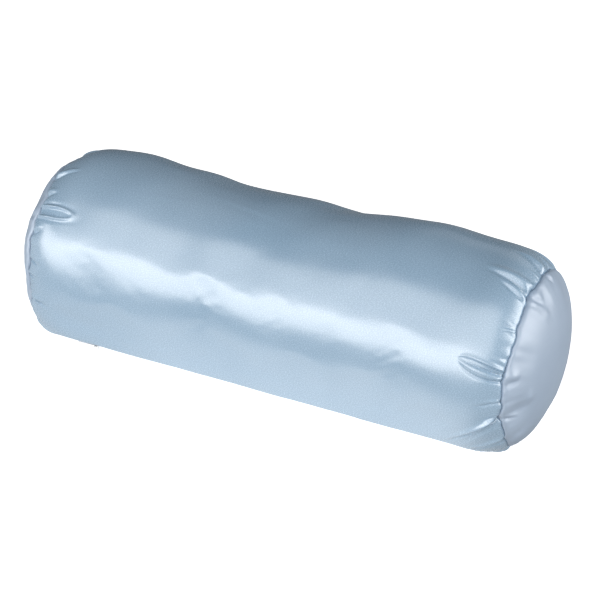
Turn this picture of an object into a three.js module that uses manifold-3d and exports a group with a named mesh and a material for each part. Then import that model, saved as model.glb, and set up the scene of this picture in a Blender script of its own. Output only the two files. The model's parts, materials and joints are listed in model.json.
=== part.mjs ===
// A round bolster pillow: a satin zip-off cover over a sewn liner that is stuffed with fibre.
// Millimetres. X runs along the roll, +Z is up, and the roll rests on Z = 0.
// The zip lies low on the front (-Y) side, closed towards -X.

import * as THREE from "three";
import { mergeVertices } from "three/addons/utils/BufferGeometryUtils.js";
import Module from "manifold-3d";

const wasm = await Module();
wasm.setup();

// The roll
const SEAM_TO_SEAM = 430; // length between the two end seams
const ROLL_RADIUS = 88;
const SHOULDER_LENGTH = 36; // stretch in which the sleeve draws in to each end seam
const SHOULDER_DROP = 12; // how much smaller the seam's radius is than the roll's
const END_BULGE = 22; // rise of each end panel beyond its seam
const FLAT_DEPTH = 5; // how far the resting side is pressed in

// The layers, from the outside in
const COVER_CLOTH = 1.0; // satin with its backing
const LINER_DEPTH = 3.5; // from the cover's outside to the liner's outside
const LINER_CLOTH = 0.8;
const GAP = 0.3; // between pieces that are sewn or laid together
const LOOSE_GAP = 0.4; // between pieces that slide or that only press together

// The sewing
const THREAD = 1.0; // width of the thread drawn into a seam
const THREAD_DEPTH = 0.6;
const STITCH_WIDTH = 0.5;
const STITCH_HEIGHT = 0.4;
const TACK_LENGTH = 1.6;
const TACK_OVERHANG = 0.7; // beyond the opening on each side
const CLOSING_LENGTH = 120; // hand-closed stretch through which the liner was stuffed
const CLOSING_WIDTH = 3;

// The zip. It lies on a flat of its own just in front of the resting side, slightly askew.
const ZIP_CLEAR_ANGLE = THREE.MathUtils.degToRad(0.3); // between the two flats
const ZIP_SKEW = THREE.MathUtils.degToRad(3.5);
const ZIP_END_MARGIN = 37; // from each end seam to the end of the chain
const ZIP_SIDE_MARGIN = 3; // flat left beside the tapes
const TAPE_WIDTH = 11;
const TAPE_OVERHANG = 7; // tape beyond the chain at each end
const TAPE_THICKNESS = 0.6;
const COIL_WIDTH = 1.9;
const COIL_HEIGHT = 1.5;
const STOP_LENGTH = 2.5;
const SLOT_OVERHANG = 3; // opening beyond the chain at each end
const SLOT_CLEARANCE = 0.9; // between the slider and each edge of the opening

// The slider and its pull
const SLIDER_LENGTH = 9;
const DIVIDER_WIDTH = 1.0; // post that joins the slider's two plates
const DIVIDER_LENGTH = 2.0;
const FLANGE_THICKNESS = 0.8;
const TOP_PLATE = 1.1;
const BOTTOM_PLATE = 0.8;
const BAIL_THICKNESS = 0.9;
const BAIL_WIDTH = 1.6;
const BAIL_LENGTH = 5.4;
const PULL_THICKNESS = 0.9;
const PULL_WIDTH = 6;
const PULL_REACH = 18; // from the hinge line to the tip
const PULL_CLEARANCE = 0.5; // around the crossbar that the pull swings on

// The care label, inside the cover at the back of the left end
const LABEL_LENGTH = 45;
const LABEL_WIDTH = 30;
const LABEL_THICKNESS = 0.5;

// Fineness of the round surfaces
const ROLL_SIDES = 40;
const SHOULDER_STEPS = 4;
const DOME_STEPS = 4;

const FAR = 4 * SEAM_TO_SEAM; // cutting blocks reach this far

// Sizes that follow from the ones above
const axisHeight = ROLL_RADIUS - FLAT_DEPTH;
const linerInner = LINER_DEPTH + LINER_CLOTH;
const seamGap = THREAD + 2 * GAP;
const coilGap = DIVIDER_WIDTH + 2 * GAP; // between the two halves of the chain
const chainHalf = SEAM_TO_SEAM / 2 - ZIP_END_MARGIN;
const tapeHalf = chainHalf + TAPE_OVERHANG;
const slotHalf = chainHalf + SLOT_OVERHANG;
const coilOuter = coilGap / 2 + COIL_WIDTH;
const coilBottom = -COVER_CLOTH;
const coilTop = coilBottom + COIL_HEIGHT;
const tapeTop = -COVER_CLOTH - GAP;
const tapeBottom = tapeTop - TAPE_THICKNESS;
const sliderHalfWidth = coilOuter + LOOSE_GAP + FLANGE_THICKNESS;
const slotHalfWidth = sliderHalfWidth + SLOT_CLEARANCE;
const topPlateBottom = coilTop + LOOSE_GAP;
const topPlateTop = topPlateBottom + TOP_PLATE;
const bottomPlateTop = tapeBottom - LOOSE_GAP;
const travelHalf = chainHalf - STOP_LENGTH - LOOSE_GAP - SLIDER_LENGTH / 2;

// The pull's hinge line is the middle of its crossbar, which is as thick as the pull.
const hingeHeight = topPlateTop + PULL_CLEARANCE + PULL_THICKNESS / 2;
const bailBarBottom = hingeHeight + PULL_THICKNESS / 2 + PULL_CLEARANCE;
const bailTop = bailBarBottom + BAIL_THICKNESS;
const pullEyeEnd = Math.hypot(BAIL_LENGTH / 2, bailTop - hingeHeight) + LOOSE_GAP;
const pullEyeHalfWidth = BAIL_WIDTH / 2 + LOOSE_GAP;

// The zip's flat is just deep enough to be wider than the tapes, skew included.
const flatHalfWidth =
  coilGap / 2 + TAPE_WIDTH + tapeHalf * Math.sin(ZIP_SKEW) + ZIP_SIDE_MARGIN;
const zipPlane = Math.sqrt(ROLL_RADIUS ** 2 - flatHalfWidth ** 2);
const zipTurn =
  Math.acos(axisHeight / ROLL_RADIUS) + Math.acos(zipPlane / ROLL_RADIUS) + ZIP_CLEAR_ANGLE;

// The zip's own frame: x along the chain, y across it towards the front, z out of the roll.
const zipFrame = (() => {
  const outward = new THREE.Vector3(0, -Math.sin(zipTurn), -Math.cos(zipTurn));
  const along = new THREE.Vector3(1, 0, 0).applyAxisAngle(outward, ZIP_SKEW);
  const across = new THREE.Vector3().crossVectors(outward, along);
  const frame = new THREE.Matrix4().makeBasis(along, across, outward);
  return frame.setPosition(outward.clone().multiplyScalar(zipPlane));
})();

// A closed geometry as a solid that can be joined and cut.
function solidOf(geometry) {
  const bare = geometry.clone();
  bare.deleteAttribute("normal");
  bare.deleteAttribute("uv");
  const merged = mergeVertices(bare, 1e-4);
  return new wasm.Manifold(
    new wasm.Mesh({
      numProp: 3,
      vertProperties: merged.attributes.position.array,
      triVerts: new Uint32Array(merged.index.array),
    }),
  );
}

function geometryOf(solid) {
  const { vertProperties, triVerts } = solid.getMesh();
  const geometry = new THREE.BufferGeometry();
  geometry.setAttribute("position", new THREE.BufferAttribute(vertProperties, 3));
  geometry.setIndex(new THREE.BufferAttribute(triVerts, 1));
  geometry.computeVertexNormals();
  return geometry;
}

// A box given by its low and high corner.
function block(low, high) {
  const size = high.map((value, i) => value - low[i]);
  const middle = high.map((value, i) => (value + low[i]) / 2);
  return new THREE.BoxGeometry(...size).translate(...middle);
}

const slice = (x0, x1) => solidOf(block([x0, -FAR, -FAR], [x1, FAR, FAR]));

// Half the roll's outline as radius and place along X, pulled in by the inset everywhere.
function halfOutline(inset) {
  const seam = SEAM_TO_SEAM / 2 - inset;
  const radius = ROLL_RADIUS - inset;
  const seamRadius = radius - SHOULDER_DROP;
  const points = [];
  for (let i = 0; i <= SHOULDER_STEPS; i++) {
    const u = i / SHOULDER_STEPS;
    points.push([radius - SHOULDER_DROP * u ** 2, seam - SHOULDER_LENGTH * (1 - u)]);
  }
  const domeRadius = (seamRadius ** 2 + END_BULGE ** 2) / (2 * END_BULGE);
  const domeAngle = Math.asin(seamRadius / domeRadius);
  for (let i = 1; i <= DOME_STEPS; i++) {
    const angle = domeAngle * (1 - i / DOME_STEPS);
    const rise = domeRadius * (Math.cos(angle) - Math.cos(domeAngle));
    points.push([domeRadius * Math.sin(angle), seam + rise]);
  }
  return points;
}

// The whole roll at some depth under its surface, flat where it rests and where the zip is.
function rollForm(inset) {
  const right = halfOutline(inset);
  const left = right.map(([r, x]) => [r, -x]).reverse();
  const outline = [...left, ...right].map(([r, x]) => new THREE.Vector2(r, x));
  const turned = new THREE.LatheGeometry(outline, ROLL_SIDES).rotateZ(-Math.PI / 2);
  const surface = inset - axisHeight;
  const below = block([-FAR, -FAR, -FAR], [FAR, FAR, surface]);
  const outside = block([-FAR, -FAR, -inset], [FAR, FAR, FAR]).applyMatrix4(zipFrame);
  return solidOf(turned).subtract(solidOf(below)).subtract(solidOf(outside));
}

const shell = (depth, thickness) => rollForm(depth).subtract(rollForm(depth + thickness));

const material = (color, roughness, metalness = 0) =>
  new THREE.MeshStandardMaterial({ color, roughness, metalness });

const satin = () => material(0xa9c4d8, 0.3);
const ticking = () => material(0xf0eee6, 0.9);
const fibre = () => material(0xf8f8f5, 1);
const thread = () => material(0x8fb0cc, 0.5);
const tapeCloth = () => material(0x6f93b8, 0.7);
const nylon = () => material(0x4a6f9c, 0.4);
const plated = () => material(0xb9bcc2, 0.3, 1);
const labelCloth = () => material(0xf5f4f0, 0.7);

function piece(name, geometry, finish) {
  const mesh = new THREE.Mesh(geometry, finish);
  mesh.name = name;
  return mesh;
}

const roll = new THREE.Group();
const zip = new THREE.Group();
const sliderGroup = new THREE.Group();

function addFill() {
  const form = rollForm(linerInner + LOOSE_GAP);
  roll.add(piece("fibre_fill", geometryOf(form), fibre()));
}

// A sleeve, two end panels and the thread in the two seams between them.
function addCasing(names, depth, thickness, finish, opening) {
  const wall = shell(depth, thickness);
  const seam = SEAM_TO_SEAM / 2 - depth;
  const inner = seam - seamGap / 2;
  const outer = seam + seamGap / 2;
  const sleeve = wall.intersect(slice(-inner, inner));
  roll.add(piece(names.sleeve, geometryOf(opening ? sleeve.subtract(opening) : sleeve), finish()));
  const threadDepth = depth + (thickness - THREAD_DEPTH) / 2;
  const threadWall = shell(threadDepth, THREAD_DEPTH);
  for (const [side, sign] of [["left", -1], ["right", 1]]) {
    const panel = wall.intersect(slice(...[sign * outer, sign * FAR].sort((a, b) => a - b)));
    roll.add(piece(names.end(side), geometryOf(panel), finish()));
    const middle = sign * seam;
    const ring = threadWall.intersect(slice(middle - THREAD / 2, middle + THREAD / 2));
    roll.add(piece(names.seam(side), geometryOf(ring), thread()));
  }
}

function addLiner() {
  const names = {
    sleeve: "liner_sleeve",
    end: (side) => `liner_${side}_end`,
    seam: (side) => `liner_seam_${side}`,
  };
  addCasing(names, LINER_DEPTH, LINER_CLOTH, ticking);
  const depth = LINER_DEPTH - GAP - THREAD_DEPTH;
  const half = [CLOSING_LENGTH / 2, CLOSING_WIDTH / 2];
  const strip = block([-half[0], -half[1], 0], [half[0], half[1], FAR]);
  const stitch = shell(depth, THREAD_DEPTH).intersect(solidOf(strip));
  roll.add(piece("liner_closing_stitch", geometryOf(stitch), thread()));
}

function addCover() {
  const names = {
    sleeve: "cover_sleeve",
    end: (side) => `cover_${side}_end`,
    seam: (side) => `seam_thread_${side}`,
  };
  const reach = COVER_CLOTH + GAP; // the cut goes through the cloth and no deeper
  const low = [-slotHalf, -slotHalfWidth, -reach];
  const slot = block(low, low.map((value) => -value)).applyMatrix4(zipFrame);
  addCasing(names, 0, COVER_CLOTH, satin, solidOf(slot));
}

function addLabel() {
  const seamEnd = GAP + COVER_CLOTH + seamGap - SEAM_TO_SEAM / 2;
  const low = [seamEnd, 0, -LABEL_WIDTH / 2];
  const high = [seamEnd + LABEL_LENGTH, FAR, LABEL_WIDTH / 2];
  const wall = shell(COVER_CLOTH + LOOSE_GAP, LABEL_THICKNESS);
  roll.add(piece("care_label", geometryOf(wall.intersect(solidOf(block(low, high)))), labelCloth()));
}

// A straight piece of the zip, on one side of it or across it.
function addZipBar(name, x, y, z, finish) {
  zip.add(piece(name, block([x[0], y[0], z[0]], [x[1], y[1], z[1]]), finish()));
}

function addZipSide(side, sign) {
  const across = (near, far) => [sign * near, sign * far].sort((a, b) => a - b);
  const stopStart = -chainHalf;
  const coilY = across(coilGap / 2, coilOuter);
  const coilX = [stopStart + STOP_LENGTH + GAP, chainHalf - STOP_LENGTH - GAP];
  const tapeY = across(coilGap / 2, coilGap / 2 + TAPE_WIDTH);
  const stitchMiddle = (slotHalfWidth + coilGap / 2 + TAPE_WIDTH) / 2;
  const stitchY = across(stitchMiddle - STITCH_WIDTH / 2, stitchMiddle + STITCH_WIDTH / 2);
  addZipBar(`zip_tape_${side}`, [-tapeHalf, tapeHalf], tapeY, [tapeBottom, tapeTop], tapeCloth);
  addZipBar(`zip_coil_${side}`, coilX, coilY, [coilBottom, coilTop], nylon);
  addZipBar(
    `zip_top_stop_${side}`, [stopStart, stopStart + STOP_LENGTH], coilY, [coilBottom, coilTop], plated,
  );
  addZipBar(
    `zip_stitch_${side}`, [-chainHalf, chainHalf], stitchY, [GAP, GAP + STITCH_HEIGHT], thread,
  );
}

function addZipEnds() {
  addZipBar(
    "zip_bottom_stop",
    [chainHalf - STOP_LENGTH, chainHalf],
    [-coilOuter, coilOuter],
    [coilBottom, coilTop],
    plated,
  );
  const tackY = [-slotHalfWidth - TACK_OVERHANG, slotHalfWidth + TACK_OVERHANG];
  const tackZ = [GAP, GAP + STITCH_HEIGHT];
  const tackStart = slotHalf + GAP;
  addZipBar("zip_tack_right", [tackStart, tackStart + TACK_LENGTH], tackY, tackZ, thread);
  addZipBar("zip_tack_left", [-tackStart - TACK_LENGTH, -tackStart], tackY, tackZ, thread);
}

// The arch on the slider that holds the pull, drawn along the zip and extruded across it.
function bailGeometry() {
  const foot = topPlateTop - TOP_PLATE / 2;
  const half = BAIL_LENGTH / 2;
  const inner = half - BAIL_THICKNESS;
  const arch = new THREE.Shape([
    new THREE.Vector2(-half, foot),
    new THREE.Vector2(-half, bailTop - BAIL_THICKNESS / 2),
    new THREE.Vector2(-half + BAIL_THICKNESS / 2, bailTop),
    new THREE.Vector2(half - BAIL_THICKNESS / 2, bailTop),
    new THREE.Vector2(half, bailTop - BAIL_THICKNESS / 2),
    new THREE.Vector2(half, foot),
    new THREE.Vector2(inner, foot),
    new THREE.Vector2(inner, bailBarBottom),
    new THREE.Vector2(-inner, bailBarBottom),
    new THREE.Vector2(-inner, foot),
  ]);
  const solid = new THREE.ExtrudeGeometry(arch, { depth: BAIL_WIDTH, bevelEnabled: false });
  return solid.rotateX(Math.PI / 2).translate(0, BAIL_WIDTH / 2, 0);
}

// Two plates, the post between them at the end where the chain is open, side flanges and bail.
function sliderSolid() {
  const half = SLIDER_LENGTH / 2;
  const flangeInner = sliderHalfWidth - FLANGE_THICKNESS;
  const flangeHalf = half - FLANGE_THICKNESS;
  const postStart = -half + FLANGE_THICKNESS;
  const plateX = [-half, half];
  const parts = [
    [plateX, [-sliderHalfWidth, sliderHalfWidth], [topPlateBottom, topPlateTop]],
    [plateX, [-sliderHalfWidth, sliderHalfWidth], [bottomPlateTop - BOTTOM_PLATE, bottomPlateTop]],
    [
      [postStart, postStart + DIVIDER_LENGTH],
      [-DIVIDER_WIDTH / 2, DIVIDER_WIDTH / 2],
      [bottomPlateTop - BOTTOM_PLATE / 2, topPlateTop - TOP_PLATE / 2],
    ],
    ...[-sliderHalfWidth, flangeInner].map((y) => [
      [-flangeHalf, flangeHalf],
      [y, y + FLANGE_THICKNESS],
      [tapeTop + GAP, topPlateTop - TOP_PLATE / 2],
    ]),
  ];
  return parts
    .map(([x, y, z]) => solidOf(block([x[0], y[0], z[0]], [x[1], y[1], z[1]])))
    .concat(solidOf(bailGeometry()))
    .reduce((whole, part) => whole.add(part));
}

// A flat tag with a rounded tip, lying along the zip. The bail passes through its eye, and the
// crossbar at its root is the hinge.
function pullGeometry() {
  const half = PULL_WIDTH / 2;
  const bar = PULL_THICKNESS / 2;
  const tag = new THREE.Shape();
  tag.moveTo(bar, -half + bar);
  tag.lineTo(bar, half - bar);
  tag.lineTo(0, half);
  tag.lineTo(half - PULL_REACH, half);
  tag.absarc(half - PULL_REACH, 0, half, Math.PI / 2, (3 * Math.PI) / 2, false);
  tag.lineTo(0, -half);
  const eye = new THREE.Path();
  eye.moveTo(-bar, -pullEyeHalfWidth);
  eye.lineTo(-bar, pullEyeHalfWidth);
  eye.lineTo(-pullEyeEnd, pullEyeHalfWidth);
  eye.lineTo(-pullEyeEnd, -pullEyeHalfWidth);
  tag.holes.push(eye);
  const options = { depth: PULL_THICKNESS, bevelEnabled: false, curveSegments: 8 };
  return new THREE.ExtrudeGeometry(tag, options).translate(0, 0, -bar);
}

function addSlider() {
  sliderGroup.position.x = -travelHalf;
  sliderGroup.add(piece("zip_slider", geometryOf(sliderSolid()), plated()));
  const pull = piece("zip_pull", pullGeometry(), plated());
  pull.position.z = hingeHeight;
  sliderGroup.add(pull);
  zip.add(sliderGroup);
}

addFill();
addLiner();
addLabel();
addCover();
addZipSide("front", 1);
addZipSide("back", -1);
addZipEnds();
addSlider();

zip.applyMatrix4(zipFrame);
roll.add(zip);
roll.position.z = axisHeight;

const bolster = new THREE.Group();
bolster.add(roll);

export default bolster;
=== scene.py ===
"""A round satin bolster with a zip-off cover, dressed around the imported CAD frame.

Metres, in the CAD frame: X runs along the roll, +Z is up, the zip lies low on the front (-Y) side.
"""

import json
import math

import bpy
import numpy as np
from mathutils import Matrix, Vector


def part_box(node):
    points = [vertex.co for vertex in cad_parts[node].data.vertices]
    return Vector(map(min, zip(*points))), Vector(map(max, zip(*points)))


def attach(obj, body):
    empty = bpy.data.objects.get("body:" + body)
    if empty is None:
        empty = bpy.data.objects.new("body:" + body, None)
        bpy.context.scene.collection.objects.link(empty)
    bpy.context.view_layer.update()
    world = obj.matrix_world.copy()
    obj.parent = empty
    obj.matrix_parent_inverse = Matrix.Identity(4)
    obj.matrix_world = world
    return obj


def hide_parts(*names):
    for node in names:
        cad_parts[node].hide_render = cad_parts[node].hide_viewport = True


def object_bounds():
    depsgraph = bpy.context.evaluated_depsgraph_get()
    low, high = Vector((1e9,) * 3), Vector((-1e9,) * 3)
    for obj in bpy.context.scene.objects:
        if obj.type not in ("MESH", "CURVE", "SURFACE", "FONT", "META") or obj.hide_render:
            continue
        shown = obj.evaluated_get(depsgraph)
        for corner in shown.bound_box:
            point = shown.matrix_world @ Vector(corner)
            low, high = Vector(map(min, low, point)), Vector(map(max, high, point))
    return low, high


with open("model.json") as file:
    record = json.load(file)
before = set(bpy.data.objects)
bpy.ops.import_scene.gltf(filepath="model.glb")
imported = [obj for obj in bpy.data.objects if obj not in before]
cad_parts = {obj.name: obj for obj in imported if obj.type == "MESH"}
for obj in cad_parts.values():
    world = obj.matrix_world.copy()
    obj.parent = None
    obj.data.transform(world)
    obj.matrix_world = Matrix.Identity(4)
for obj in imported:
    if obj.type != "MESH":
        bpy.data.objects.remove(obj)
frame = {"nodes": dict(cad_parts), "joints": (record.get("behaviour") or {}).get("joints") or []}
cad_low, cad_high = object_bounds()

MM = 0.001

# ---- the frame's own sizes

joints = {j["name"]: j for j in frame["joints"]}
ALONG = np.array(joints["zip_slide"]["axis"])
ALONG /= np.linalg.norm(ALONG)
ACROSS = np.array(joints["pull_swing"]["axis"])
ACROSS /= np.linalg.norm(ACROSS)
OUTWARD = np.cross(ALONG, ACROSS)

RADIUS = (cad_high.y - cad_low.y) / 2
CENTRE = np.array([0.0, 0.0, cad_high.z - RADIUS])
seam_low, seam_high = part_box("seam_thread_right")
SEAM_X = (seam_low.x + seam_high.x) / 2
SEAM_RADIUS = (seam_high.y - seam_low.y) / 2
BULGE = cad_high.x - SEAM_X
SHOULDER = 38 * MM  # how far from its seams the sleeve starts to round over
SLIDER_ROOM = 0.9 * MM  # from the slider's side to the edge of the opening
ENDS = (("left", -1), ("right", 1))
ZIP_SIDES = (("front", 1), ("back", -1))


def zip_measures(points):
    """Points in the zip's frame: along, across and out of the roll, from its axis."""
    return (points - CENTRE) @ np.array([ALONG, ACROSS, OUTWARD]).T


def zip_box(node):
    """A node's lowest and highest corner in the zip's frame."""
    local = zip_measures(np.array([v.co for v in frame["nodes"][node].data.vertices], float))
    return local.min(0), local.max(0)


ZIP_PLANE = zip_box("cover_sleeve")[1][2]
SLOT_HALF_WIDTH = zip_box("zip_slider")[1][1] + SLIDER_ROOM
SLOT_HALF = zip_box("zip_tack_right")[0][0]
ZIP_TURN = math.atan2(-OUTWARD[1], -OUTWARD[2])


def zip_place(points):
    """Points given along, across and above the zip's flat, in the row frame."""
    p = np.asarray(points, float)
    return CENTRE + p[..., :1] * ALONG + p[..., 1:2] * ACROSS + (p[..., 2:] + ZIP_PLANE) * OUTWARD


# ---- mesh helpers


def placed(name, data):
    """A new object in the scene that shows this data."""
    made = bpy.data.objects.new(name, data)
    bpy.context.scene.collection.objects.link(made)
    return made


def shade(made, smooth):
    made.data.polygons.foreach_set("use_smooth", [smooth] * len(made.data.polygons))


def mesh_object(name, points, faces):
    mesh = bpy.data.meshes.new(name)
    mesh.from_pydata(np.asarray(points, float).reshape(-1, 3).tolist(), [], faces)
    mesh.update()
    made = placed(name, mesh)
    shade(made, True)
    return made


def grid_faces(rows, columns, closed=False, start=0):
    """Quads of a grid whose points are stored row by row. closed joins the last column to the first."""
    wide = columns if closed else columns - 1
    return [
        (
            start + i * columns + j,
            start + i * columns + (j + 1) % columns,
            start + (i + 1) * columns + (j + 1) % columns,
            start + (i + 1) * columns + j,
        )
        for i in range(rows - 1)
        for j in range(wide)
    ]


def set_uv(made, values):
    """A UV map from one pair of numbers for each corner of each face, in face order."""
    layer = made.data.uv_layers.new(name="cloth")
    layer.data.foreach_set("uv", np.asarray(values, float).ravel())


def join(name, parts):
    """One object from several lists of points and faces."""
    points, faces, count = [], [], 0
    for some_points, some_faces in parts:
        some_points = np.asarray(some_points, float).reshape(-1, 3)
        points.append(some_points)
        faces += [tuple(k + count for k in face) for face in some_faces]
        count += len(some_points)
    return mesh_object(name, np.vstack(points), faces)


def modifier(made, kind, **settings):
    added = made.modifiers.new(kind.lower(), kind)
    for key, value in settings.items():
        setattr(added, key, value)
    return added


def tube(line, radius, sides=6, caps=True):
    """Points and faces of a tube along a line of points."""
    line = np.asarray(line, float)
    steps = np.gradient(line, axis=0)
    steps /= np.linalg.norm(steps, axis=1, keepdims=True)
    guide = np.where(np.abs(steps[:, :1]) > 0.9, [[0.0, 0.0, 1.0]], [[1.0, 0.0, 0.0]])
    side = np.cross(steps, guide)
    side /= np.linalg.norm(side, axis=1, keepdims=True)
    other = np.cross(steps, side)
    turn = np.arange(sides) * 2 * math.pi / sides
    radii = np.broadcast_to(radius, len(line))[:, None, None]
    ring = np.cos(turn)[None, :, None] * side[:, None] + np.sin(turn)[None, :, None] * other[:, None]
    points = (line[:, None] + radii * ring).reshape(-1, 3)
    faces = grid_faces(len(line), sides, closed=True)
    if caps:
        faces += [tuple(reversed(range(sides))), tuple(range(len(points) - sides, len(points)))]
    return points, faces


# ---- material helpers


class Nodes:
    """A material's node tree, with short calls to add a node and join two sockets."""

    def __init__(self, name):
        self.material = bpy.data.materials.new(name)
        self.material.use_nodes = True
        self.tree = self.material.node_tree
        self.shader = self.tree.nodes["Principled BSDF"]

    def add(self, kind, inputs=(), **settings):
        node = self.tree.nodes.new("ShaderNode" + kind)
        for key, value in settings.items():
            setattr(node, key, value)
        for key, value in dict(inputs).items():
            if isinstance(value, bpy.types.NodeSocket):
                self.tree.links.new(value, node.inputs[key])
            else:
                node.inputs[key].default_value = value
        return node

    def link(self, output, name):
        self.tree.links.new(output, self.shader.inputs[name])

    def set(self, **values):
        for key, value in values.items():
            self.shader.inputs[key.replace("_", " ")].default_value = value

    def math(self, operation, a, b=0.0):
        return self.add("Math", {0: a, 1: b}, operation=operation).outputs[0]

    def place(self):
        return self.add("TexCoord").outputs["Object"]

    def carried(self, value, low, high, to_low, to_high, kind="LINEAR"):
        """A value carried over from one range to another."""
        inputs = {"Value": value, "From Min": low, "From Max": high, "To Min": to_low, "To Max": to_high}
        return self.add("MapRange", inputs, interpolation_type=kind).outputs[0]

    def wave(self, way, vector, scale, distortion, detail=1.0):
        inputs = {"Vector": vector, "Scale": scale, "Distortion": distortion, "Detail": detail}
        return self.add("TexWave", inputs, bands_direction=way).outputs["Fac"]

    def noise(self, scale, detail=2.0, vector=None, roughness=0.5):
        inputs = {"Scale": scale, "Detail": detail, "Roughness": roughness}
        if vector is not None:
            inputs["Vector"] = vector
        return self.add("TexNoise", inputs).outputs["Fac"]

    def ramp(self, value, stops):
        node = self.add("ValToRGB", {"Fac": value})
        elements = node.color_ramp.elements
        while len(elements) < len(stops):
            elements.new(0.5)
        for element, (place, colour) in zip(elements, stops):
            element.position, element.color = place, (*colour, 1.0)
        return node.outputs["Color"]

    def bump(self, height, strength, distance, normal=None):
        inputs = {"Height": height, "Strength": strength, "Distance": distance}
        if normal is not None:
            inputs["Normal"] = normal
        return self.add("Bump", inputs).outputs["Normal"]


def scaled(nodes, source, factors):
    return nodes.add("Mapping", {"Vector": source, "Scale": factors}).outputs[0]


def satin_material(name, dark, light, smooth, matt, flow):
    """Satin: long floats that lie round the roll, a fine grain, and a soft unevenness of tone."""
    nodes = Nodes(name)
    cloth = nodes.add("UVMap", uv_map="cloth").outputs[0]
    place = nodes.place()
    broad = nodes.noise(9.0, 3.0, place)
    slub = nodes.noise(1.0, 4.0, scaled(nodes, cloth, (60, 900, 1)))
    grain = nodes.noise(1.0, 2.0, scaled(nodes, cloth, (800, 1500, 1)), 0.6)
    tone = nodes.math("ADD", nodes.math("MULTIPLY", broad, 0.75), nodes.math("MULTIPLY", slub, 0.1))
    tone = nodes.math("ADD", tone, nodes.math("MULTIPLY", grain, 0.15))
    colour = nodes.ramp(tone, [(0.35, dark), (0.65, light)])
    nodes.link(colour, "Base Color")
    nodes.link(nodes.carried(grain, 0.3, 0.7, smooth, matt), "Roughness")
    floats = nodes.wave("DIAGONAL", scaled(nodes, cloth, (500, 2400, 1)), 0.3, 1.2, 2.0)
    crumple = nodes.noise(55.0, 3.0, place, 0.5)
    normal = nodes.bump(crumple, 0.16, 0.5 * MM)
    normal = nodes.bump(grain, 0.12, 0.10 * MM, normal)
    normal = nodes.bump(slub, 0.03, 0.15 * MM, normal)
    normal = nodes.bump(floats, 0.2, 0.05 * MM, normal)
    nodes.link(normal, "Normal")
    nodes.link(nodes.add("Tangent", direction_type="UV_MAP", uv_map="cloth").outputs[0], "Tangent")
    nodes.set(Anisotropic=flow, Specular_IOR_Level=0.8, IOR=1.9)
    return nodes.material


SATIN_DARK = (0.27, 0.40, 0.53)
SATIN_LIGHT = (0.34, 0.47, 0.60)
# On the end panels the floats are seen end on, so the same satin is made less glossy, and its colours are
# painted greyer: a painted reflection of the white table.
PANEL_DARK_PAINTED_REFLECTION = (0.29, 0.38, 0.50)
PANEL_LIGHT_PAINTED_REFLECTION = (0.38, 0.47, 0.59)


def woven_material(name, dark, light, pitch, roughness=0.85, sheen=0.2):
    """Plain weave: two crossed sets of threads, drawn on the cloth's own measure in metres."""
    nodes = Nodes(name)
    cloth = nodes.add("UVMap", uv_map="cloth").outputs[0]
    weave = nodes.math("MULTIPLY", *(nodes.wave(way, cloth, 0.314 / pitch, 0.6) for way in "XY"))
    patches = nodes.noise(40.0, 3.0, nodes.place())
    tone = nodes.math("ADD", nodes.math("MULTIPLY", weave, 0.6), nodes.math("MULTIPLY", patches, 0.4))
    nodes.link(nodes.ramp(tone, [(0.15, dark), (0.75, light)]), "Base Color")
    nodes.link(nodes.bump(weave, 0.6, pitch / 4), "Normal")
    nodes.set(Roughness=roughness, Sheen_Weight=sheen, Sheen_Roughness=0.5)
    return nodes.material


def thread_material(name, dark, light):
    """Twisted thread: fine slanting bands with a slight gloss."""
    nodes = Nodes(name)
    twist = nodes.wave("DIAGONAL", nodes.place(), 900.0, 2.0)
    nodes.link(nodes.ramp(twist, [(0.2, dark), (0.8, light)]), "Base Color")
    nodes.link(nodes.bump(twist, 0.5, 0.06 * MM), "Normal")
    nodes.set(Roughness=0.45, Sheen_Weight=0.3)
    return nodes.material


def nylon_material():
    nodes = Nodes("zip_nylon")
    cloud = nodes.noise(600.0, 3.0, nodes.place())
    nodes.link(nodes.ramp(cloud, [(0.3, (0.06, 0.13, 0.26)), (0.7, (0.10, 0.19, 0.35))]), "Base Color")
    nodes.link(nodes.bump(cloud, 0.15, 0.05 * MM), "Normal")
    nodes.set(Roughness=0.35, Specular_IOR_Level=0.5)
    return nodes.material


def metal_material():
    nodes = Nodes("zip_metal")
    place = nodes.place()
    wear = nodes.noise(350.0, 5.0, place)
    nodes.link(nodes.ramp(wear, [(0.3, (0.50, 0.51, 0.53)), (0.7, (0.70, 0.71, 0.72))]), "Base Color")
    nodes.link(nodes.carried(wear, 0.3, 0.7, 0.22, 0.42), "Roughness")
    nodes.link(nodes.bump(nodes.noise(1400.0, 2.0, place), 0.1, 0.03 * MM), "Normal")
    nodes.set(Metallic=1.0)
    return nodes.material


def fibre_material():
    """Matted crimped fibre: stretched noise in two directions over soft lumps."""
    nodes = Nodes("fill_fibre")
    place = nodes.place()
    strands = [
        nodes.noise(1.0, 5.0, scaled(nodes, place, stretch), 0.7)
        for stretch in ((150, 1500, 900), (900, 200, 1500))
    ]
    mat = nodes.math("MAXIMUM", *strands)
    nodes.link(nodes.ramp(mat, [(0.35, (0.78, 0.78, 0.77)), (0.75, (0.95, 0.95, 0.94))]), "Base Color")
    nodes.link(nodes.bump(mat, 0.9, 0.8 * MM), "Normal")
    nodes.set(Roughness=0.95, Sheen_Weight=0.4, Sheen_Roughness=0.6)
    return nodes.material


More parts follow.
